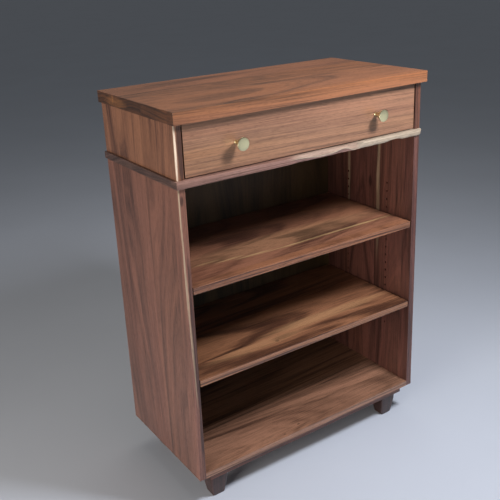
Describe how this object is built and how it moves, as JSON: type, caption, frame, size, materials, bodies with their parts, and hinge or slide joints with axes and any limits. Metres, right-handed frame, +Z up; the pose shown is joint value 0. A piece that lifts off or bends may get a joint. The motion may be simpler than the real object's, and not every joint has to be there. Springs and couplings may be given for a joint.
{
  "type": "bookcase with adjustable shelves",
  "caption": "Free-standing walnut bookcase: a shallow drawer case on a live-edge divider board over an open case with pin-hung adjustable shelves, on short tapered feet.",
  "frame": {"origin": "on the floor, under the centre of the whole object's box", "axes": "+Z up; the open front and the drawer face -Y; +X is to the right as seen from the front"},
  "size_m": [0.781, 0.416, 1.0735],
  "materials": {
    "walnut": "satin, oiled black walnut",
    "walnut_side": "satin, oiled black walnut, darker boards",
    "sapwood": "satin, walnut with pale sapwood along its live edge",
    "maple": "clear satin, pale drawer wood",
    "back_panel": "dark walnut veneer panel, satin",
    "steel": "zinc plated steel",
    "brass": "satin pale brass",
    "foot_wood": "satin, dark walnut"
  },
  "bodies": {
    "case": {"top_board": "walnut", "bottom_board": "walnut", "upper_left_side": "walnut_side", "upper_right_side": "walnut_side", "lower_left_side": "walnut_side", "lower_right_side": "walnut_side", "divider_board": "sapwood", "upper_back": "back_panel", "lower_back": "back_panel", "shelf_upper_pins": "steel", "shelf_lower_pins": "steel", "slide_case_left": "steel", "slide_case_right": "steel", "slide_case_screws": "steel", "foot_bolts": "steel", "rail_screws": "steel", "back_screws": "steel", "divider_dowels": "maple", "top_dowels": "maple", "bottom_dowels": "maple", "base_rail_front": "foot_wood", "base_rail_back": "foot_wood", "foot_front_left": "foot_wood", "foot_front_right": "foot_wood", "foot_back_left": "foot_wood", "foot_back_right": "foot_wood"},
    "drawer": {"drawer_front": "walnut", "drawer_box_front": "maple", "drawer_left_side": "maple", "drawer_right_side": "maple", "drawer_back": "maple", "drawer_bottom": "maple", "knob_left": "brass", "knob_right": "brass", "knob_screws": "steel", "drawer_front_screws": "steel", "slide_drawer_left": "steel", "slide_drawer_right": "steel", "slide_drawer_screws": "steel"},
    "slide_middles": {"slide_middle_left": "steel", "slide_middle_right": "steel"},
    "upper_shelf": {"shelf_upper": "walnut"},
    "lower_shelf": {"shelf_lower": "walnut"}
  },
  "joints": [
    {"name": "drawer_slide", "type": "slide", "parent": "case", "child": "drawer", "axis": [0, -1, 0], "range_m": [0, 0.35]},
    {"name": "slide_middle_travel", "type": "slide", "parent": "case", "child": "slide_middles", "axis": [0, -1, 0], "range_m": [0, 0.175]},
    {"name": "upper_shelf_slide", "type": "slide", "parent": "case", "child": "upper_shelf", "axis": [0, -1, 0], "range_m": [0, 0.26]},
    {"name": "lower_shelf_slide", "type": "slide", "parent": "case", "child": "lower_shelf", "axis": [0, -1, 0], "range_m": [0, 0.26]}
  ],
  "couplings": [
    {"joint": "slide_middle_travel", "follows": "drawer_slide", "ratio": 0.5}
  ]
}
